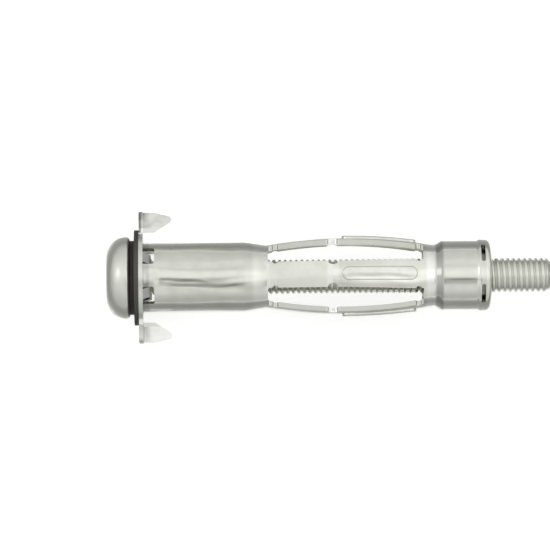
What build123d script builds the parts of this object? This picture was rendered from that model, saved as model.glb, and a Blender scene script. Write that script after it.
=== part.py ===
from build123d import *
import os

# Hollow wall anchor for plasterboard, M5: a sleeve folded from one sheet, with four legs that buckle
# outwards behind the board, a toothed plate behind its front flange, a nut crimped into its rear
# collar, and a pan-head screw with a soft washer under its head.
# Millimetres. +X runs along the axis, from the board's face into the cavity, and +Z is up.
# The origin is on the axis, in the rear face of the toothed plate, which bears on the board.
# Angles about the axis start at +Z and turn towards -Y.

# ---- Sheets and clearances
sleeve_sheet = 0.65
plate_sheet = 0.6
running_gap = 0.05              # radial, screw in its nut
washer_gap = 0.12               # radial, screw in the soft washer
seat_gap = 0.05                 # radial, nut in its collar
plate_gap = 0.07                # radial, sleeve in the toothed plate
nut_front_gap = 0.25            # axial, nut behind the neck
nut_end_gap = 0.1               # axial, nut against the rear lip

# ---- Screw
screw_diameter = 4.95
screw_length = 60.4             # under the head
tip_chamfer = 0.5
head_diameter = 11.75
head_height = 3.35
head_shoulder = 2.8             # radius from the flat face to the side
head_underside = 0.5            # radius at the lower edge of the head
slot_width = 1.3
slot_depth = 1.3
recess_span = 5.2               # across two wings, at the face
recess_floor_span = 1.9         # across two wings, at the bottom
recess_wing = 1.15              # width of a wing
recess_depth = 2.5
core_diameter = 2.9             # of the recess's central cone, at the face
core_floor_diameter = 1.5
core_point = 0.4                # depth of the cone's end below the wings

# ---- Washer under the head
washer_diameter = 10.65
washer_thickness = 0.65
washer_edge = 0.1

# ---- Toothed plate
plate_diameter = 13.4
ear_span = 18.7                 # over both ears
ear_width = 5.4
ear_corner = 0.5
tooth_length = 4.15             # behind the plate's rear face
tooth_outer = 9.15              # distances of the tooth's edges from the axis
tooth_inner = 6.3
tooth_tip_outer = 8.6
tooth_tip_inner = 7.75
tooth_point = 0.25              # how far the middle of the tip stands out
tooth_shoulder = 1.6            # straight edges before the taper, behind the rear face
tooth_bend = 0.25               # inside radius of the fold
tongue_width = 1.6
tongue_reach = 1.15             # behind the plate's rear face
tongue_drop = 0.72              # how far its end lies inside the plate's hole
tongue_turn = 5.0               # degrees from the pocket's middle, towards the nearer leg

# ---- Sleeve's profile: lengths along the axis, and radii to the outside of the sheet
flange_overhang = 0.15          # how far the flange stands out past the toothed plate
barrel_radius = 5.0
barrel_length = 14.6            # behind the toothed plate
waist_taper = 3.1               # barrel to waist
waist_radius = 4.58
leg_length = 22.3               # from end to end of a window
leg_front_rise = 5.7            # where the belly starts, behind the front of the windows
leg_rear_fall = 5.2             # where it ends, before their rear
belly_radius = 5.5
neck_radius = 4.46
neck_taper = 0.95               # neck to collar
collar_length = 5.0
bead_taper = 0.4                # collar to the crest of the bead
bead_radius = 5.2
bead_length = 1.7               # crest of the bead to the end
end_radius = 5.1
lip_radius = 3.1

# ---- Bends of the sleeve's sheet, inside radii
flange_bend = 0.1
barrel_bend = 1.35
waist_bend = 0.8
belly_front_bend = 70.0
belly_rear_bend = 75.0
neck_bend = 0.6
collar_bend = 0.1
bead_bend = 0.3
crest_bend = 0.1
end_bend = 0.2

# ---- Seam, where the sheet's edges meet
seam_width = 0.1
seam_angle = 240.0

# ---- Legs, between windows
leg_count = 4
leg_width = 3.7
leg_rear_width = 4.2
window_corner = 0.35
front_land = 0.2                # waist to the front of the windows
rear_land = 1.7                 # rear of the windows to the neck
root_offset = 1.05              # notches at the front end of a leg, behind the front of the windows
toe_offset = 0.7                # and at the rear end, before their rear
end_notch = 0.8                 # length of the notch along the leg
end_notch_depth = 0.3
hinge_offset = 9.3              # hinge line, behind the front of the windows
hinge_notch = 1.5
hinge_notch_depth = 0.5
coin_radius = 4.0               # of the roller that presses the hinge line
coin_depth = 0.15
widen_offset = 1.8              # hinge line to where the leg widens
rib_offset = 1.3                # hinge line to the rib
rib_end_offset = 0.9            # rib to the rear of the windows
rib_width = 2.0
rib_height = 0.33
rib_round = 0.25

# ---- Pockets behind the plate and crimp slots in the collar
pocket_angle = 36.0             # from the middle of the front leg, and of the rear one
pocket_start = -0.5
pocket_end = 1.65
pocket_width = 2.9
pocket_corner = 0.3
crimp_offset = 0.5              # crest of the bead to the slots' middle
crimp_length = 3.1
crimp_width = 0.6

# ---- Nut
nut_chamfer = 0.3
nut_step = 0.35                 # radial step behind which the collar is crimped
nut_step_gap = 0.15             # axial, step in front of the crimp slots

# ---- Worked out from the sizes above
screw_radius = screw_diameter / 2
head_radius = head_diameter / 2
flange_radius = plate_diameter / 2 + flange_overhang
flange_front = -plate_sheet - sleeve_sheet
washer_front = flange_front - washer_thickness
head_front = washer_front - head_height
recess_floor = head_front + recess_depth
screw_tip = washer_front + screw_length
hole_radius = barrel_radius + flange_bend + plate_gap
fold_radius = tooth_bend + plate_sheet
tongue_x = tongue_reach - plate_sheet / 2
tongue_radius = hole_radius - tongue_drop
waist_x = barrel_length + waist_taper
leg_start = waist_x + front_land
leg_end = leg_start + leg_length
belly_start = leg_start + leg_front_rise
belly_end = leg_end - leg_rear_fall
neck_x = leg_end + rear_land
collar_start = neck_x + neck_taper
collar_end = collar_start + collar_length
bead_x = collar_end + bead_taper
sleeve_end = bead_x + bead_length
root_x = leg_start + root_offset
toe_x = leg_end - toe_offset
hinge_x = leg_start + hinge_offset
widen_start = hinge_x + widen_offset
rib_start = hinge_x + rib_offset
rib_end = leg_end - rib_end_offset
crimp_x = bead_x + crimp_offset
collar_bore = barrel_radius - sleeve_sheet
nut_start = collar_start + nut_front_gap + sleeve_sheet / 2
nut_step_x = crimp_x - crimp_width / 2 - nut_step_gap
nut_end = sleeve_end - sleeve_sheet - nut_end_gap
nut_radius = collar_bore - seat_gap
reach = 2 * ear_span            # longer than any cut across the part has to be

leg_turns = [360 / leg_count * leg for leg in range(leg_count)]
pocket_turns = [pocket_angle, 180 - pocket_angle, 180 + pocket_angle, -pocket_angle]
tongue_angle = pocket_angle - tongue_turn
tongue_turns = [tongue_angle, 180 - tongue_angle, 180 + tongue_angle, -tongue_angle]


def turned(angles):
    """The places of a piece that lies at +Z, turned about the axis by each angle."""
    return [Location((0, 0, 0), (angle, 0, 0)) for angle in angles]


def belly_path(inset):
    """The profile of the legs, at a depth below the sheet's outside."""
    return FilletPolyline((waist_x, waist_radius - inset), (belly_start, belly_radius - inset),
                          (belly_end, belly_radius - inset), (neck_x, neck_radius - inset),
                          radius=[belly_front_bend, belly_rear_bend])


def rib_body(inset, width):
    """A slot-shaped pad at +Z that reaches the rib's height to both sides of the legs' profile."""
    with BuildPart() as pad:
        with BuildSketch(Plane.XY):
            with BuildLine():
                belly_path(inset)
                offset(amount=rib_height, side=Side.BOTH)
            make_face()
        revolve(axis=Axis.X)
        with BuildSketch(Plane.XY):
            with Locations(((rib_start + rib_end) / 2, 0)):
                SlotOverall(rib_end - rib_start - rib_width + width, width)
        extrude(amount=reach, mode=Mode.INTERSECT)
        fillet(pad.faces().sort_by(Axis.Z)[-1].edges(), rib_round)
    return pad.part


os.makedirs("parts", exist_ok=True)

# ================================================================== screw
with BuildPart() as screw:
    with BuildSketch(Plane.XY):
        with BuildLine():
            face_radius = head_radius - head_shoulder
            side_x = head_front + head_shoulder
            Line((head_front, 0), (head_front, face_radius))
            RadiusArc((head_front, face_radius), (side_x, head_radius), head_shoulder)
            Polyline((side_x, head_radius), (washer_front, head_radius), (washer_front, screw_radius),
                     (screw_tip - tip_chamfer, screw_radius), (screw_tip, screw_radius - tip_chamfer),
                     (screw_tip, 0), (head_front, 0))
        make_face()
    revolve(axis=Axis.X)
    lower_rim = screw.edges().filter_by(GeomType.CIRCLE).filter_by(
        lambda edge: abs(edge.radius - head_radius) < 0.001).sort_by(Axis.X)[-1]
    fillet(lower_rim, head_underside)
    # straight slot across the head, along Y
    with BuildSketch(Plane.YZ.offset(head_front)):
        Rectangle(2 * head_diameter, slot_width)
    extrude(amount=slot_depth, mode=Mode.SUBTRACT)
    # cross recess: tapered wings along Y and Z, and a tapered core
    for plane in (Plane.XY, Plane.XZ):
        with BuildSketch(plane):
            Polygon((head_front, -recess_span / 2), (head_front, recess_span / 2),
                    (recess_floor, recess_floor_span / 2), (recess_floor, -recess_floor_span / 2),
                    align=None)
        extrude(amount=recess_wing / 2, both=True, mode=Mode.SUBTRACT)
    with BuildSketch(Plane.XY):
        Polygon((head_front, 0), (head_front, core_diameter / 2),
                (recess_floor, core_floor_diameter / 2), (recess_floor + core_point, 0), align=None)
    revolve(axis=Axis.X, mode=Mode.SUBTRACT)

# ================================================================== washer under the head
with BuildPart() as head_washer:
    with BuildSketch(Plane.YZ.offset(washer_front)):
        Circle(washer_diameter / 2)
        Circle(screw_radius + washer_gap, mode=Mode.SUBTRACT)
    extrude(amount=washer_thickness)
    rims = head_washer.edges().filter_by(GeomType.CIRCLE).filter_by(
        lambda edge: abs(edge.radius - washer_diameter / 2) < 0.001)
    fillet(rims, washer_edge)

# ================================================================== toothed plate
# one tooth with the strip of ear that it folds from, on the +Z side of the ear along +Y
with BuildPart() as tooth:
    with BuildSketch(Plane.XZ):
        with BuildLine():
            FilletPolyline((-plate_sheet, ear_width / 2 - 2 * fold_radius),
                           (-plate_sheet, ear_width / 2), (tooth_length, ear_width / 2),
                           radius=fold_radius)
            offset(amount=plate_sheet, side=Side.RIGHT)
        make_face()
    extrude(amount=-reach)
    with BuildSketch(Plane.XY):
        Polygon((-plate_sheet, tooth_outer), (tooth_shoulder, tooth_outer),
                (tooth_length - tooth_point, tooth_tip_outer),
                (tooth_length, (tooth_tip_outer + tooth_tip_inner) / 2),
                (tooth_length - tooth_point, tooth_tip_inner),
                (tooth_shoulder, tooth_inner), (-plate_sheet, tooth_inner), align=None)
    extrude(amount=reach, mode=Mode.INTERSECT)

# one tongue at +Z, staked inwards from the edge of the hole
with BuildPart() as tongue:
    with BuildSketch(Plane.XZ):
        Polygon((-plate_sheet, hole_radius + plate_gap), (0, hole_radius + plate_gap),
                (0, hole_radius), (tongue_reach, tongue_radius),
                (tongue_x, tongue_radius - plate_sheet / 2), (-plate_sheet, hole_radius), align=None)
    extrude(amount=tongue_width / 2, both=True)

with BuildPart() as barbed_plate:
    with BuildSketch(Plane.YZ) as plate_outline:
        Circle(plate_diameter / 2)
        Rectangle(ear_span, ear_width)
        ear_ends = plate_outline.vertices().group_by(Axis.X)
        fillet(ear_ends[0] + ear_ends[-1], ear_corner)
        Circle(hole_radius, mode=Mode.SUBTRACT)
        # each tooth takes the folded side of its ear
        fold_length = ear_span / 2 - tooth_inner
        for side in (1, -1):
            with Locations((side * (tooth_inner + fold_length / 2), side * ear_width / 2)):
                Rectangle(fold_length, 2 * fold_radius, mode=Mode.SUBTRACT)
    extrude(amount=-plate_sheet)
    with Locations(*turned((0, 180))):
        add(tooth.part)
    with Locations(*turned(tongue_turns)):
        add(tongue.part)

# ================================================================== sleeve
# one window at the corner between the legs at +Y and +Z: the same edge seen from both sides
with BuildPart() as window:
    for plane, direction in ((Plane.XY, 1), (Plane.XZ, -1)):
        with BuildSketch(plane) as window_side:
            Polygon((leg_start, leg_width / 2), (widen_start, leg_width / 2),
                    (leg_end, leg_rear_width / 2), (leg_end, ear_span), (leg_start, ear_span), align=None)
            window_ends = window_side.vertices().group_by(Axis.Y)
            fillet(window_ends[0].sort_by(Axis.X)[0], window_corner)
            with Locations((hinge_x, leg_width / 2)):
                Ellipse(hinge_notch / 2, hinge_notch_depth)
            with Locations((root_x, leg_width / 2)):
                Ellipse(end_notch / 2, end_notch_depth)
            with Locations((toe_x, leg_rear_width / 2)):
                Ellipse(end_notch / 2, end_notch_depth)
        extrude(amount=direction * reach, mode=Mode.ADD if direction > 0 else Mode.INTERSECT)

# one pocket at +Z, behind the plate
with BuildPart() as pocket:
    with BuildSketch(Plane.XY):
        with Locations(((pocket_start + pocket_end) / 2, 0)):
            RectangleRounded(pocket_end - pocket_start, pocket_width, pocket_corner)
    extrude(amount=reach)

# one crimp slot at +Z, across the collar
with BuildPart() as crimp_slot:
    with BuildSketch(Plane.XY):
        with Locations((crimp_x, 0)):
            SlotOverall(crimp_length, crimp_width, rotation=90)
    extrude(amount=reach)

# the seam at +Z, from end to end
with BuildPart() as seam:
    with BuildSketch(Plane.XY):
        with Locations((sleeve_end / 2, 0)):
            Rectangle(2 * sleeve_end, seam_width)
    extrude(amount=reach)

with BuildPart() as sleeve:
    with BuildSketch(Plane.XY):
        with BuildLine():
            FilletPolyline((-plate_sheet, flange_radius), (-plate_sheet, barrel_radius),
                           (barrel_length, barrel_radius), (waist_x, waist_radius),
                           (belly_start, belly_radius), (belly_end, belly_radius),
                           (neck_x, neck_radius), (collar_start, barrel_radius),
                           (collar_end, barrel_radius), (bead_x, bead_radius),
                           (sleeve_end, end_radius), (sleeve_end, lip_radius),
                           radius=[flange_bend, barrel_bend + sleeve_sheet, waist_bend,
                                   belly_front_bend, belly_rear_bend, neck_bend,
                                   collar_bend + sleeve_sheet, bead_bend,
                                   crest_bend + sleeve_sheet, end_bend + sleeve_sheet])
            offset(amount=sleeve_sheet, side=Side.RIGHT)
        make_face()
    revolve(axis=Axis.X)
    # hinge line pressed round the legs
    with BuildSketch(Plane.XY):
        with Locations((hinge_x, belly_radius - coin_depth + coin_radius)):
            Circle(coin_radius)
    revolve(axis=Axis.X, mode=Mode.SUBTRACT)
    # ribs, pressed outwards from the inside of the legs
    with Locations(*turned(leg_turns)):
        add(rib_body(0, rib_width))
        add(rib_body(sleeve_sheet, rib_width - 2 * rib_height), mode=Mode.SUBTRACT)
        add(window.part, mode=Mode.SUBTRACT)
    with Locations(*turned(pocket_turns)):
        add(pocket.part, mode=Mode.SUBTRACT)
        add(crimp_slot.part, mode=Mode.SUBTRACT)
    with Locations(*turned([seam_angle])):
        add(seam.part, mode=Mode.SUBTRACT)

# ================================================================== nut
with BuildPart() as nut:
    with BuildSketch(Plane.XY):
        Polygon((nut_start, screw_radius + running_gap), (nut_start, nut_radius - nut_chamfer),
                (nut_start + nut_chamfer, nut_radius), (nut_step_x, nut_radius),
                (nut_step_x, nut_radius - nut_step), (nut_end, nut_radius - nut_step),
                (nut_end, screw_radius + running_gap), align=None)
    revolve(axis=Axis.X)

pieces = {"screw": screw, "head_washer": head_washer, "barbed_plate": barbed_plate,
          "sleeve": sleeve, "nut": nut}
for name, piece in pieces.items():
    piece.part.label = name
    export_step(piece.part, f"parts/{name}.step")
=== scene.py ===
import math
import bmesh
import bpy
from mathutils import Matrix, Vector


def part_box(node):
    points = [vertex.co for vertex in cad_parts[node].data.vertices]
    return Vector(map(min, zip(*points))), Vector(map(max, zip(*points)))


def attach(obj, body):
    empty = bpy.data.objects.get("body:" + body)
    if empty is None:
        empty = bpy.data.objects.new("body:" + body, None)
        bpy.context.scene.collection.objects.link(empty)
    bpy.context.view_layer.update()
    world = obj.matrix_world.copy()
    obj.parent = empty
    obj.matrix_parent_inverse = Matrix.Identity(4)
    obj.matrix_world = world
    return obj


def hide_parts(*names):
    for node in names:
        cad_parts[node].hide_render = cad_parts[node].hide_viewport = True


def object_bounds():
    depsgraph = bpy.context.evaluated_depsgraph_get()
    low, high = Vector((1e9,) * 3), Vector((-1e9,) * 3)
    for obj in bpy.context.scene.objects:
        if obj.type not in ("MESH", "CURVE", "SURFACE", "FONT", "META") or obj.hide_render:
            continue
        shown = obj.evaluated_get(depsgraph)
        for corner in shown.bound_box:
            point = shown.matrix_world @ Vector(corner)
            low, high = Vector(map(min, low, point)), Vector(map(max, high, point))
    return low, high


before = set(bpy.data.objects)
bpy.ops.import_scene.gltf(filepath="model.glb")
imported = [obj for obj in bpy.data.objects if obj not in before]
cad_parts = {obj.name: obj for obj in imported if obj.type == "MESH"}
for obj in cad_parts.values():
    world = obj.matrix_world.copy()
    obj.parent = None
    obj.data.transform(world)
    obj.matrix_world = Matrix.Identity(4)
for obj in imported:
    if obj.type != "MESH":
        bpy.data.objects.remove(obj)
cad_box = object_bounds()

# The hollow wall anchor as it lies in the photograph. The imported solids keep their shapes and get
# their materials here, and the screw gets its thread. +X runs along the axis to the screw's tip,
# the plate's two teeth reach out along +Y and -Y, and the camera looks down from +Z. Numbers in
# the tables of marks are in millimetres.

MM = 0.001

# ------------------------------------------------------------------ places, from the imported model
screw_lo, screw_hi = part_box("screw")
under_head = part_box("head_washer")[0].x
flange_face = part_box("sleeve")[0].x
tip = screw_hi.x
floor_z = cad_box[0].z


def add_object(name, data):
    obj = bpy.data.objects.new(name, data)
    bpy.context.scene.collection.objects.link(obj)
    return obj


# ------------------------------------------------------------------ nodes
class Tree:
    """A small helper for building the node tree of a material or of the world."""

    def __init__(self, owner):
        owner.use_nodes = True
        owner.node_tree.nodes.clear()
        self.tree = owner.node_tree

    def node(self, kind, inputs=(), **settings):
        n = self.tree.nodes.new("ShaderNode" + kind)
        for key, value in settings.items():
            setattr(n, key, value)
        for key, value in dict(inputs).items():
            self.put(n, key, value)
        return n

    def put(self, n, key, value):
        self.fill(n.inputs[key], value)

    def fill(self, socket, value):
        if isinstance(value, bpy.types.NodeSocket):
            self.tree.links.new(value, socket)
        else:
            socket.default_value = value

    def place(self):
        return self.node("TexCoord").outputs["Object"]

    def xyz(self, vector):
        return self.node("SeparateXYZ", {"Vector": vector}).outputs

    def math(self, operation, *values, clamp=False):
        n = self.node("Math", operation=operation, use_clamp=clamp)
        for i, value in enumerate(values):
            self.put(n, i, value)
        return n.outputs[0]

    def add(self, a, b):
        return self.math("ADD", a, b)

    def times(self, a, b, clamp=False):
        return self.math("MULTIPLY", a, b, clamp=clamp)

    def span(self, value, first, last, start, end, kind="LINEAR"):
        """The value, carried over from first..last to start..end, and held at either end."""
        n = self.node("MapRange", {"Value": value, "From Min": first, "From Max": last,
                                   "To Min": start, "To Max": end}, interpolation_type=kind)
        return n.outputs["Result"]

    def ramp(self, value, stops):
        """A grey level that goes straight from one stop to the next."""
        n = self.node("ValToRGB", {"Fac": value})
        n.color_ramp.interpolation = "LINEAR"
        elements = n.color_ramp.elements
        while len(elements) > 1:
            elements.remove(elements[-1])
        for i, (position, level) in enumerate(stops):
            element = elements[0] if i == 0 else elements.new(position)
            element.position = position
            element.color = (level, level, level, 1)
        return n.outputs["Color"]

    def noise(self, vector, scale, detail=2.0, roughness=0.5, stretch=(1, 1, 1)):
        mapped = self.node("Mapping", {"Vector": vector, "Scale": stretch}).outputs["Vector"]
        n = self.node("TexNoise", {"Vector": mapped, "Scale": scale, "Detail": detail,
                                   "Roughness": roughness})
        return n.outputs["Fac"]

    def mix(self, fac, a, b):
        n = self.node("Mix", {"Factor": fac}, data_type="RGBA")
        for name, value in (("A", a), ("B", b)):
            socket = [s for s in n.inputs if s.name == name and s.type == "RGBA"][0]
            self.fill(socket, value if isinstance(value, bpy.types.NodeSocket) else (*value, 1))
        return [s for s in n.outputs if s.type == "RGBA"][0]

    def end(self, kind, shader):
        """Sends the shader's first output to the output node of the material or the world."""
        self.node("Output" + kind, {"Surface": shader.outputs[0]})


def new_material(name):
    material = bpy.data.materials.new(name)
    return material, Tree(material)


# ------------------------------------------------------------------ zinc: noises and colours
# scale, detail and roughness of each noise, and its stretch along X, Y and Z
CLOUDS = (420, 3.0, 0.6)
GRAIN = (3600, 3.0, 0.7)
SLOW_WAVE = (95, 1.0, 0.4, (0.8, 1.3, 1.3))
SHORT_WAVE = (480, 1.5, 0.5, (0.16, 1.0, 1.0))
WANDER = (150, 1.0, 0.5, (1.0, 0.2, 0.2))
STREAKS = (1500, 2.0, 0.6, (0.3, 1.6, 1.0))
BLOTCHES = (850, 1.0, 0.5)
CLOUD_SHARE = 0.9               # of the darker colour, where a cloud is at its fullest
CLOUD_ROUGH, GRAIN_ROUGH = 0.1, 0.08
GRAIN_HEIGHT = 0.0022
RIPPLE = 0.12                   # share of the short wave, beside the slow one
SWAY = 1.4                      # how widely lines along the sheet wander

# colour of painted light: highlights on the sleeve, and the lighter -Y tooth
PAINTED_LIGHT_COLOUR = (1.0, 1.0, 0.97)
# colour of the painted highlight strip on the upper leg
HIGHLIGHT_STRIP_COLOUR = (1.0, 1.0, 0.93)
# colour of painted shade, on the sheared edges and in rings
PAINTED_SHADE_COLOUR = (0.42, 0.425, 0.40)
# colour of the dark lines, two of which are painted reflections
DARK_LINE_COLOUR = (0.16, 0.16, 0.13)
# colour of the painted shade on the teeth
TOOTH_SHADE_COLOUR = (0.3, 0.305, 0.29)
# colour of the painted shade on the tongues, in the pockets
TONGUE_SHADE_COLOUR = (0.46, 0.47, 0.45)
FLANGE_COLOUR = (0.11, 0.108, 0.10)
# colour of the painted glow on the barrel's inside
INNER_GLOW_COLOUR = (0.9, 0.92, 0.86, 1)

# ------------------------------------------------------------------ zinc: marks, painted highlights and painted shade on the sleeve
# rings of painted highlight and of painted shade: middle along X, reach and strength
# painted highlights where the neck, the hinge and the waist catch the light, and a faint brighter
# ring over the collar
PAINTED_HIGHLIGHT_RINGS = [(41.3, 1.0, 0.5), (27.2, 1.2, 0.4), (16.9, 1.6, 0.3), (45.3, 4.0, 0.12)]
# painted shade on the neck's cone that faces the head, and at the barrel's root beside the plate
PAINTED_SHADE_RINGS = [(42.5, 0.75, 0.85), (0.35, 0.8, 0.5)]
RING_CORE = 0.4                 # share of its reach over which a ring has its full strength
# marks along the sheet, by their middle along X and Y, half length and half width: a painted
# highlight along the upper leg, and dark lines, whose last number is a strength
# a bright strip painted as a highlight along the upper leg
PAINTED_HIGHLIGHT_STRIP = (34.4, -1.05, 5.6, 0.5, 0.75)
# dark lines: one on the collar, and two on the barrel that are painted reflections of a dark strip
DARK_LINES_AND_PAINTED_REFLECTIONS = [(45.8, -1.08, 2.4, 0.17, 0.6), (5.2, -0.72, 3.0, 0.17, 0.3),
          (12.4, -1.38, 2.6, 0.17, 0.3)]
# and ridges and dents, whose last number is a height
DENTS = [(5.3, -0.86, 3.4, 0.3, -0.036), (5.5, -1.72, 3.8, 0.3, 0.022),
         (12.2, -0.6, 3.4, 0.5, -0.036), (7.5, 1.55, 6.0, 0.5, -0.02),
         (1.15, -0.35, 0.9, 0.9, -0.1), (34.0, -0.62, 5.2, 0.48, -0.1)]
# creases between two lengths of the tube: place along X, reach to each side and height
BENDS = [(14.6, 1.5, -0.05), (17.7, 1.0, 0.034), (41.9, 0.9, 0.03), (42.85, 0.5, -0.03)]
BEND_ROUND = 0.02
# the legs lean away from their hinge by this slope, which fades over this length
HINGE_X, HINGE_SLOPE, HINGE_FADE = 27.2, 0.08, 6.0
# the waves die down from the first of these places to the second, and stay at this share
WAVES_TO, CALM_FROM, CALM_SHARE = 37, 43, 0.2
OPENINGS_END = 48.0             # the openings lie between the wall's face and this place
RIB_SHARE = 0.27                # half the rib's width over its distance from the axis
EDGE_FACING = 0.55              # a sheared edge faces the axis, or away from it, by less than this
EDGE_SHARE = 0.55               # of the painted shade colour, on the sheared edges
FLANGE_DEPTH = 0.66
FLANGE_ROUGH = 0.4
CLOSED_END = 14.0               # the closed length of the barrel lies in front of this place
INNER_FACING = -0.5             # its inside faces the axis by more than this
INNER_GLOW = 0.2                # and glows a little, as painted light for the light that shows there

# ------------------------------------------------------------------ zinc: marks, painted light and painted shade on the plate
TOOTH_Y = 6.9                   # the teeth lie further out than this
LOWER_TOOTH_LIGHT = 0.7              # share of the painted light colour on the -Y tooth, which shows lighter than the +Y tooth
STREAK_FROM, STREAK_GAIN = 0.35, 0.5
BLOTCH_FROM, BLOTCH_GAIN = 0.45, 1.1
# the streaks and blotches are grain, made stronger on the +Y tooth as painted shade
UPPER_GRAIN_AND_SHADE, LOWER_GRAIN_AND_SHADE = 1.0, 0.3
FOLD_FROM, FOLD_TO = 0.1, 1.1   # the shade beside the fold fades between these places along X
FOLD_SHARE = 0.8
FOLD_INNER = 0.45               # strength of the +Y fold's shade at its inner end
FOLD_GAIN = 0.25                # which it gains with each millimetre outwards
FOLD_BOTH = 1.35                # strength of the two folds together, at any distance
TONGUE_START, TONGUE_RADIUS = 0.02, 5.6


def facing_out(t):
    """The place on the tube, and how far its surface faces away from the tube's axis."""
    coords = t.node("TexCoord")
    spot = t.xyz(coords.outputs["Object"])
    radial = t.node("CombineXYZ", {"Y": spot["Y"], "Z": spot["Z"]})
    outward = t.node("VectorMath", {0: radial.outputs[0]}, operation="NORMALIZE")
    return spot, t.node("VectorMath", {0: outward.outputs[0], 1: coords.outputs["Normal"]},
                        operation="DOT_PRODUCT").outputs["Value"]


def cut_edge(t):
    """1 on the sheared edges of the openings, whose normals stand square to the radius; 0
    elsewhere, and on the sides of the ribs."""
    spot, out = facing_out(t)
    square = t.math("LESS_THAN", t.math("ABSOLUTE", out), EDGE_FACING)
    half = OPENINGS_END / 2 * MM
    from_middle = t.math("ABSOLUTE", t.math("SUBTRACT", spot["X"], half))
    openings = t.math("LESS_THAN", from_middle, half)
    aside, up = t.math("ABSOLUTE", spot["Y"]), t.math("ABSOLUTE", spot["Z"])
    from_rib = t.math("DIVIDE", t.math("MINIMUM", aside, up), t.math("MAXIMUM", aside, up))
    beside_rib = t.math("GREATER_THAN", from_rib, RIB_SHARE)
    return t.times(t.times(square, openings), beside_rib)


def inner_wall(t):
    """1 on the inside of the closed length of the barrel, 0 elsewhere."""
    spot, out = facing_out(t)
    inward = t.math("LESS_THAN", out, INNER_FACING)
    return t.times(inward, t.math("LESS_THAN", spot["X"], CLOSED_END * MM))


def long_mark(t, place, middle_x, middle_y, length, width, strength):
    """A long soft mark on the upper side of the sleeve: its strength within, 0 elsewhere."""
    spot = t.xyz(place)
    along = t.math("DIVIDE", t.math("SUBTRACT", spot["X"], middle_x * MM), length * MM)
    across = t.math("DIVIDE", t.math("SUBTRACT", spot["Y"], middle_y * MM), width * MM)
    far = t.add(t.math("POWER", t.math("ABSOLUTE", along), 4.0), t.times(across, across))
    hill = t.math("EXPONENT", t.times(far, -1.0))
    upper = t.math("GREATER_THAN", spot["Z"], 0.0)
    return t.times(t.times(hill, upper), strength)


def sway(t, place):
    """The place, moved to and fro across the sleeve, so that lines along it aren't straight."""
    wander = t.math("SUBTRACT", t.noise(place, *WANDER), 0.5)
    aside = t.node("CombineXYZ", {"Y": t.times(wander, SWAY * MM)})
    moved = t.node("VectorMath", {0: place, 1: aside.outputs[0]}, operation="ADD")
    return moved.outputs["Vector"]


def ring(t, x, middle_x, reach, strength):
    """A ring round the sleeve: its strength in the middle, falling softly to 0 at its reach."""
    off = t.math("DIVIDE", t.math("ABSOLUTE", t.math("SUBTRACT", x, middle_x * MM)), reach * MM)
    return t.times(t.span(off, RING_CORE, 1.0, 1.0, 0.0, "SMOOTHSTEP"), strength)


def bend(t, x, middle_x, reach, rise):
    """The height that rounds off the crease between two lengths of the tube."""
    off = t.math("DIVIDE", t.math("SUBTRACT", x, middle_x * MM), reach * MM)
    away = t.math("SQRT", t.add(t.times(off, off), BEND_ROUND), clamp=True)
    close = t.math("SUBTRACT", 1.0, away)
    return t.times(t.times(close, close), rise)


def sleeve_colour(t, place, swayed, colour):
    """Painted shade on the sleeve's sheared edges, painted highlights, dark lines and rings of
    painted shade over its plain colour, with its dark flange last.
    """
    x = t.xyz(place)["X"]
    # painted shade on the sheared edges of the openings
    colour = t.mix(t.times(cut_edge(t), EDGE_SHARE), colour, PAINTED_SHADE_COLOUR)
    # rings of painted highlight
    for mark in PAINTED_HIGHLIGHT_RINGS:
        colour = t.mix(ring(t, x, *mark), colour, PAINTED_LIGHT_COLOUR)
    # a painted highlight strip on the upper leg
    colour = t.mix(long_mark(t, place, *PAINTED_HIGHLIGHT_STRIP), colour, HIGHLIGHT_STRIP_COLOUR)
    # dark lines, two of them painted reflections of a dark strip
    for mark in DARK_LINES_AND_PAINTED_REFLECTIONS:
        colour = t.mix(long_mark(t, swayed, *mark), colour, DARK_LINE_COLOUR)
    # rings of painted shade
    for mark in PAINTED_SHADE_RINGS:
        colour = t.mix(ring(t, x, *mark), colour, PAINTED_SHADE_COLOUR)
    return t.mix(flange(t, place), colour, FLANGE_COLOUR)


def flange(t, place):
    """1 on the sleeve's flange, 0 behind it."""
    return t.math("LESS_THAN", t.xyz(place)["X"], flange_face + FLANGE_DEPTH * MM)


def sleeve_height(t, place, swayed, height):
    """The sleeve's dents, the lean of its legs and its rounded creases, on top of its grain."""
    x = t.xyz(place)["X"]
    for mark in DENTS:
        height = t.add(height, long_mark(t, swayed, *mark))
    from_hinge = t.math("ABSOLUTE", t.math("SUBTRACT", t.math("DIVIDE", x, MM), HINGE_X))
    lean = t.math("EXPONENT", t.math("DIVIDE", from_hinge, -HINGE_FADE))
    height = t.add(height, t.times(lean, HINGE_SLOPE * HINGE_FADE))
    for mark in BENDS:
        height = t.add(height, bend(t, x, *mark))
    return height


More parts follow.
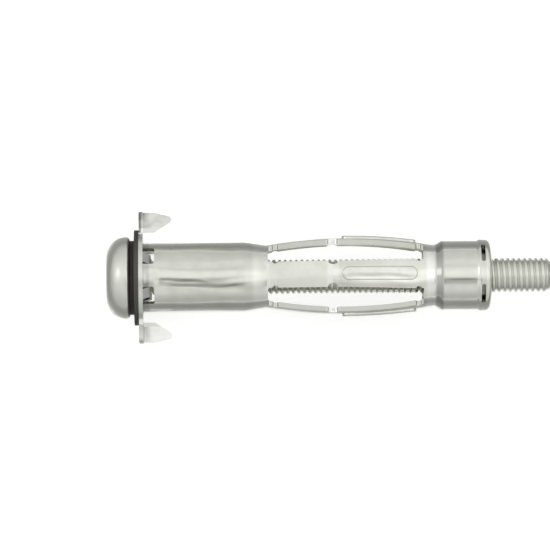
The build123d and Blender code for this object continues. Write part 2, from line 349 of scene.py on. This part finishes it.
def tooth_shade(t, place):
    """How much painted shade the two teeth get: beside the fold, and in streaks and blotches of
    grain that are made stronger on the +Y tooth as painted shade. The fold's shade grows outwards
    on the +Y tooth, and inwards on the other."""
    x, y, z = t.xyz(place)
    far = t.math("ABSOLUTE", y)
    outer = t.math("GREATER_THAN", far, TOOTH_Y * MM)
    upper = t.math("GREATER_THAN", y, 0.0)
    streaks = t.math("SUBTRACT", t.noise(place, *STREAKS), STREAK_FROM)
    blotches = t.math("SUBTRACT", t.noise(place, *BLOTCHES), BLOTCH_FROM)
    marks = t.add(t.times(streaks, STREAK_GAIN, clamp=True),
                  t.times(blotches, BLOTCH_GAIN, clamp=True))
    # painted shade: the grain counts for more on the +Y tooth
    more_shade_above = t.add(t.times(upper, UPPER_GRAIN_AND_SHADE - LOWER_GRAIN_AND_SHADE), LOWER_GRAIN_AND_SHADE)
    marks = t.times(marks, more_shade_above)
    outwards = t.add(FOLD_INNER, t.times(t.add(far, -TOOTH_Y * MM), FOLD_GAIN / MM))
    inwards = t.math("SUBTRACT", FOLD_BOTH, outwards)
    difference = t.math("SUBTRACT", t.times(outwards, 2.0), FOLD_BOTH)
    side = t.add(t.times(upper, difference), inwards)
    fold = t.span(x, FOLD_FROM * MM, FOLD_TO * MM, 1.0, 0.0)
    fold = t.times(fold, side, clamp=True)
    return t.times(outer, t.add(marks, t.times(fold, FOLD_SHARE)), clamp=True)


def tongue_shade(t, place):
    """1 on the plate's tongues, which lie in the shade of the pockets; 0 elsewhere."""
    x, y, z = t.xyz(place)
    off_axis = t.math("SQRT", t.add(t.times(y, y), t.times(z, z)))
    behind = t.math("GREATER_THAN", x, TONGUE_START * MM)
    return t.times(behind, t.math("LESS_THAN", off_axis, TONGUE_RADIUS * MM))


def plate_colour(t, place, colour):
    """Painted light on the -Y tooth, painted shade and grain on the teeth, and painted shade on the
    tongues, over the plate's plain colour.
    """
    lower = t.math("LESS_THAN", t.xyz(place)["Y"], -TOOTH_Y * MM)
    # painted light on the -Y tooth
    colour = t.mix(t.times(lower, LOWER_TOOTH_LIGHT), colour, PAINTED_LIGHT_COLOUR)
    # painted shade on the teeth, beside the fold and on the +Y tooth
    colour = t.mix(tooth_shade(t, place), colour, TOOTH_SHADE_COLOUR)
    # painted shade on the tongues
    return t.mix(tongue_shade(t, place), colour, TONGUE_SHADE_COLOUR)


def zinc(name, light, dark, roughness, grain=(1, 1, 1), wave=0.0, sheet=False, teeth=False):
    """Bright zinc plating: cloudy colour, a fine grain that is stretched the way the piece was
    worked, and a slow wave of the surface that bends what it reflects."""
    material, t = new_material(name)
    place = t.place()
    clouds = t.noise(place, *CLOUDS)
    fine = t.noise(place, *GRAIN, grain)
    colour = t.mix(t.times(clouds, CLOUD_SHARE, clamp=True), light, dark)
    rough = t.add(t.times(clouds, CLOUD_ROUGH), t.times(fine, GRAIN_ROUGH))
    rough = t.add(rough, roughness - (CLOUD_ROUGH + GRAIN_ROUGH) / 2)
    slow = t.math("SUBTRACT", t.noise(place, *SLOW_WAVE), 0.5)
    short = t.math("SUBTRACT", t.noise(place, *SHORT_WAVE), 0.5)
    waves = t.times(t.add(slow, t.times(short, RIPPLE)), wave)
    height = t.times(fine, GRAIN_HEIGHT)
    shader = t.node("BsdfPrincipled", {"Metallic": 1.0})
    if sheet:
        swayed = sway(t, place)
        # the sleeve's painted highlights and painted shade, its dark lines and its dark flange
        colour = sleeve_colour(t, place, swayed, colour)
        rough = t.add(rough, t.times(flange(t, place), FLANGE_ROUGH))
        calm = t.span(t.xyz(place)["X"], WAVES_TO * MM, CALM_FROM * MM, 1.0, CALM_SHARE)
        height = sleeve_height(t, place, swayed, t.add(height, t.times(waves, calm)))
        # painted light: a faint glow on the inside of the barrel
        t.put(shader, "Emission Color", INNER_GLOW_COLOUR)
        t.put(shader, "Emission Strength", t.times(inner_wall(t), INNER_GLOW))
    else:
        height = t.add(height, waves)
    if teeth:
        # painted light and painted shade on the plate's teeth and tongues
        colour = plate_colour(t, place, colour)
    bump = t.node("Bump", {"Height": height, "Strength": 1.0, "Distance": MM})
    t.put(shader, "Base Color", colour)
    t.put(shader, "Roughness", rough)
    t.put(shader, "Normal", bump.outputs["Normal"])
    t.end("Material", shader)
    return material


def soft_black(name):
    """The washer's matt black, with a faint cloud and grain."""
    material, t = new_material(name)
    place = t.place()
    grain = t.noise(place, 2600, 4.0, 0.7)
    clouds = t.noise(place, 500, 2.0, 0.5)
    bump = t.node("Bump", {"Height": grain, "Strength": 0.5, "Distance": 0.02 * MM})
    t.end("Material", t.node("BsdfPrincipled", {
        "Base Color": t.mix(clouds, (0.016, 0.013, 0.011), (0.034, 0.029, 0.025)),
        "Roughness": t.add(t.times(grain, 0.2), 0.5),
        "Normal": bump.outputs["Normal"]}))
    return material


zinc_sheet = zinc("zinc_sheet", (0.84, 0.85, 0.775), (0.63, 0.64, 0.58), 0.18,
                  grain=(0.25, 1, 1), wave=0.7, sheet=True)
zinc_plate = zinc("zinc_plate", (0.80, 0.81, 0.76), (0.66, 0.67, 0.62), 0.3,
                  grain=(0.3, 1.4, 1), wave=0.4, teeth=True)
zinc_screw = zinc("zinc_screw", (0.80, 0.81, 0.745), (0.66, 0.67, 0.61), 0.32, wave=0.25)
# the nut's zinc is darkened as painted shade, for it is seen only in the shadow of the collar's
# slots
zinc_nut_painted_shade = zinc("zinc_nut_painted_shade", (0.36, 0.36, 0.33), (0.24, 0.24, 0.22), 0.32)
washer_black = soft_black("washer_black")


def dress(node, *materials):
    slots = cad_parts[node].data.materials
    slots.clear()
    for material in materials:
        slots.append(material)


dress("sleeve", zinc_sheet)
dress("barbed_plate", zinc_plate)
dress("nut", zinc_nut_painted_shade)
dress("head_washer", washer_black)

# ------------------------------------------------------------------ screw with its thread
PITCH = 0.8 * MM
CREST_RADIUS = 2.475 * MM
ROOT_RADIUS = CREST_RADIUS - 0.34 * MM
CHAMFER = 0.55 * MM
TIP_RADIUS = CREST_RADIUS - CHAMFER
EASE, FLANK = 0.03 * MM, 0.09 * MM      # how far the first two steps of each rounding go
AROUND = 64                             # steps of the helix in one turn
HEAD_MARGIN = 0.02 * MM                 # faces that reach further than this go with the shank
MERGE, DEGENERATE = 1e-7, 1e-8
# one pitch of the thread: share of the pitch, and radius
THREAD_SHAPE = [(0.0, CREST_RADIUS), (0.26, CREST_RADIUS), (0.34, CREST_RADIUS - EASE),
                (0.4, CREST_RADIUS - FLANK), (0.52, ROOT_RADIUS + FLANK),
                (0.57, ROOT_RADIUS + EASE), (0.63, ROOT_RADIUS), (0.69, ROOT_RADIUS + EASE),
                (0.74, ROOT_RADIUS + FLANK), (0.86, CREST_RADIUS - FLANK),
                (0.92, CREST_RADIUS - EASE), (1.0, CREST_RADIUS)]


def around_axis(x, r, step):
    angle = 2 * math.pi * step / AROUND
    return (x, -r * math.sin(angle), r * math.cos(angle))


def thread_point(start, end, step, share, radius):
    """A point of the helix surface; past either end it is held at that end."""
    x = start + (step / AROUND + share) * PITCH
    chamfered = CREST_RADIUS - max(0.0, min(x, end) - (end - CHAMFER))
    r = TIP_RADIUS if x > end else min(radius, chamfered)
    return around_axis(min(max(x, start), end), r, step)


def add_thread(bm, start, end):
    """A right-hand thread as one helical strip, closed at the tip by a flat disc."""
    steps = int((end - start) / PITCH + 2) * AROUND
    rows = [[bm.verts.new(thread_point(start, end, step, share, radius))
             for share, radius in THREAD_SHAPE] for step in range(-AROUND, steps + 1)]
    for a, b in zip(rows, rows[1:]):
        for j in range(len(THREAD_SHAPE) - 1):
            if a[j].co.x < end and b[j].co.x < end or a[j + 1].co.x < end:
                bm.faces.new((a[j], b[j], b[j + 1], a[j + 1])).smooth = True
    bm.faces.new([bm.verts.new(around_axis(end, TIP_RADIUS, step)) for step in range(AROUND)])


def build_screw():
    """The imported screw's head, with a threaded shank in place of the plain one."""
    bm = bmesh.new()
    bm.from_mesh(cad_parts["screw"].data)
    shank = [f for f in bm.faces if max(v.co.x for v in f.verts) > under_head + HEAD_MARGIN]
    bmesh.ops.delete(bm, geom=shank, context="FACES")
    add_thread(bm, under_head, tip)
    bmesh.ops.remove_doubles(bm, verts=bm.verts, dist=MERGE)
    bmesh.ops.dissolve_degenerate(bm, edges=bm.edges, dist=DEGENERATE)
    mesh = bpy.data.meshes.new("threaded_screw")
    bm.to_mesh(mesh)
    bm.free()
    mesh.materials.clear()
    mesh.materials.append(zinc_screw)
    obj = add_object("threaded_screw", mesh)
    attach(obj, "screw")
    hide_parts("screw")


build_screw()

# ------------------------------------------------------------------ floor, studio and lamps
# brightness of the studio by the angle round the object's axis, from straight up towards +Y, in
# degrees: for directions square to the axis, and for those towards the head and the tip
MIDDLE = [(-180, 0.5), (-100, 0.5), (-88, 0.5), (-73, 0.52), (-60, 0.72), (-48, 0.84),
          (-36, 0.88), (-28, 0.25), (-18, 0.25), (-10, 0.78), (-3, 0.9), (4, 0.98), (14, 0.94),
          (22, 0.78), (28, 0.64), (36, 0.78), (45, 0.88), (58, 0.74), (75, 0.7), (90, 0.62),
          (100, 0.52), (180, 0.5)]
TO_HEAD = [(-180, 0.5), (-95, 0.5), (-75, 0.6), (-55, 0.72), (-35, 0.86), (-20, 0.92),
           (0, 0.95), (20, 0.94), (40, 0.92), (60, 0.8), (80, 0.68), (95, 0.55), (180, 0.5)]
TO_TIP = [(-180, 0.5), (-95, 0.5), (-75, 0.6), (-50, 0.7), (-34, 0.66), (-26, 0.74),
          (-18, 0.86), (-8, 0.98), (10, 1.02), (20, 0.88), (30, 0.8), (45, 0.86), (60, 0.78),
          (80, 0.68), (95, 0.55), (180, 0.5)]
# how far a direction leans where each of the last two begins to count, and where it counts alone
HEAD_LEAN = (-0.05, -0.11)
TIP_LEAN = (0.055, 0.11)
# and the share of it all by how far a direction leans towards the head (-1) or the tip (1)
ENDS = [(-1.0, 0.5), (-0.93, 0.8), (-0.8, 0.85), (-0.5, 0.76), (-0.25, 0.78), (-0.12, 0.8),
        (0.1, 0.8), (0.14, 0.72), (0.2, 0.78), (0.27, 0.93), (0.5, 0.95), (0.8, 0.95),
        (0.93, 0.9), (1.0, 0.6)]
TOP = 1.2                       # a ramp holds levels up to 1, so the levels are divided by this
STUDIO_LEVEL = 1.25
FLOOR_HALF = 6.0
FLOOR_GLOW = 0.5
# the card's hole reaches this far past the head and the tip, and to each side of the axis
FLAG_PAST_HEAD, FLAG_PAST_TIP, FLAG_SIDE = 4 * MM, 3 * MM, 8.5 * MM
FLAG_WIDTH = 0.3
FLAG_LIFT = 0.1 * MM
# its grey by the distance from the hole, as a share of this length
FLAG_FADE = 0.1
FLAG_LEVELS = [(0.0, 0.52), (0.05, 0.42), (0.12, 0.32), (0.3, 0.32), (0.6, 0.42), (1.0, 0.5)]


def rectangle(x0, x1, half, z):
    return [(x0, -half, z), (x1, -half, z), (x1, half, z), (x0, half, z)]


def build_floor():
    """A pale floor that keeps the object's shadow, and glows for rays that see the background."""
    mesh = bpy.data.meshes.new("floor")
    mesh.from_pydata(rectangle(-FLOOR_HALF, FLOOR_HALF, FLOOR_HALF, floor_z), [], [(0, 1, 2, 3)])
    material, t = new_material("floor_white")
    grain = t.noise(t.place(), 40, 2.0)
    diffuse = t.node("BsdfDiffuse", {"Color": t.mix(grain, (0.80, 0.80, 0.80), (0.82, 0.82, 0.82))})
    glow = t.node("Emission", {"Color": (1, 1, 1, 1), "Strength": FLOOR_GLOW})
    path = t.node("LightPath")
    seen = t.math("MAXIMUM", path.outputs["Is Camera Ray"], path.outputs["Is Glossy Ray"])
    seen = t.math("MAXIMUM", seen, path.outputs["Is Transmission Ray"])
    both = t.node("AddShader", {0: diffuse.outputs[0], 1: glow.outputs[0]})
    t.end("Material", t.node("MixShader", {0: seen, 1: diffuse.outputs[0], 2: both.outputs[0]}))
    mesh.materials.append(material)
    obj = add_object("floor", mesh)


def build_world():
    """A plain studio round the object. Its brightness goes by the angle round the object's long
    axis, with a narrow dark gap nearly overhead, and is lower towards the object's two ends."""
    world = bpy.data.worlds.new("studio")
    bpy.context.scene.world = world
    t = Tree(world)
    x, y, z = t.xyz(t.node("TexCoord").outputs["Generated"])
    turned = t.add(t.math("DIVIDE", t.math("ARCTAN2", y, z), 2 * math.pi), 0.5)

    def around(levels):
        return t.ramp(turned, [((degrees + 180) / 360, level / TOP) for degrees, level in levels])

    def blend(lean, first, second):
        return t.node("MixRGB", {"Fac": t.span(x, *lean, 0.0, 1.0), "Color1": first,
                                 "Color2": second}).outputs["Color"]

    studio = blend(HEAD_LEAN, around(MIDDLE), around(TO_HEAD))
    studio = blend(TIP_LEAN, studio, around(TO_TIP))
    ends = t.ramp(t.add(t.times(x, 0.5), 0.5), [((lean + 1) / 2, level) for lean, level in ENDS])
    level = t.node("MixRGB", {"Fac": 1.0, "Color1": studio, "Color2": ends}, blend_type="MULTIPLY")
    t.end("World", t.node("Background", {"Color": level.outputs["Color"],
                                         "Strength": TOP * STUDIO_LEVEL}))


def build_flag():
    """A grey card that lies round the object, seen by the metal alone: it gives the round sides
    their dark edge."""
    left, right, side = screw_lo.x - FLAG_PAST_HEAD, tip + FLAG_PAST_TIP, FLAG_SIDE
    level = floor_z + FLAG_LIFT
    corners = rectangle(left, right, side, level)
    corners += rectangle(left - FLAG_WIDTH, right + FLAG_WIDTH, side + FLAG_WIDTH, level)
    faces = [(k, (k + 1) % 4, 4 + (k + 1) % 4, 4 + k) for k in range(4)]
    mesh = bpy.data.meshes.new("grey_flag")
    mesh.from_pydata(corners, [], faces)
    material, t = new_material("grey_flag")
    x, y, z = t.xyz(t.place())
    past_side = t.math("SUBTRACT", t.math("ABSOLUTE", y), side)
    past_end = t.math("MAXIMUM", t.math("SUBTRACT", left, x), t.math("SUBTRACT", x, right))
    away = t.math("DIVIDE", t.math("MAXIMUM", past_side, past_end), FLAG_FADE, clamp=True)
    t.end("Material", t.node("Emission", {"Color": t.ramp(away, FLAG_LEVELS), "Strength": 1.0}))
    mesh.materials.append(material)
    obj = add_object("grey_flag", mesh)
    obj.visible_camera = False
    obj.visible_diffuse = False
    obj.visible_shadow = False
    obj.visible_transmission = False


def area_lamp(name, place, target, size, power):
    data = bpy.data.lights.new(name, "AREA")
    data.shape = "SQUARE"
    data.size = size
    data.energy = power
    obj = add_object(name, data)
    obj.location = place
    obj.rotation_euler = (Vector(target) - Vector(place)).to_track_quat("-Z", "Y").to_euler()


build_floor()
build_world()
build_flag()
area_lamp("soft_above", (0.05, 0.25, 0.9), (0.02, 0, 0), 0.9, 0.2)
area_lamp("soft_left", (-0.62, 0.14, 0.62), (0, 0, 0), 0.3, 0.25)

# ------------------------------------------------------------------ camera
FRAME_WIDTH = 79.1 * MM         # what the picture shows at the axis; the tip is at its right edge
LENS = 300.0
SENSOR = 36.0
LEAN = math.radians(4.5)        # of the camera from straight above, towards -Y
SIDE_LEAN = math.radians(0.6)   # and towards the head
ROLL = math.radians(-0.45)
AIM_Y = 0.26 * MM
CLIP_START = 0.01

aim = Vector((tip - FRAME_WIDTH / 2, AIM_Y, 0.0))
distance = FRAME_WIDTH / SENSOR * LENS
back = Vector((-math.sin(SIDE_LEAN), -math.sin(LEAN), 1.0)).normalized()
right = Vector((1.0, 0.0, 0.0))
right = (right - back * right.dot(back)).normalized()
turn = Matrix((right, back.cross(right), back)).transposed() @ Matrix.Rotation(ROLL, 3, "Z")
camera_data = bpy.data.cameras.new("camera")
camera_data.lens = LENS
camera_data.sensor_width = SENSOR
camera_data.clip_start = CLIP_START
camera = add_object("camera", camera_data)
camera.matrix_world = Matrix.Translation(aim + back * distance) @ turn.to_4x4()
bpy.context.scene.camera = camera

view = bpy.context.scene.view_settings
view.view_transform = "Standard"
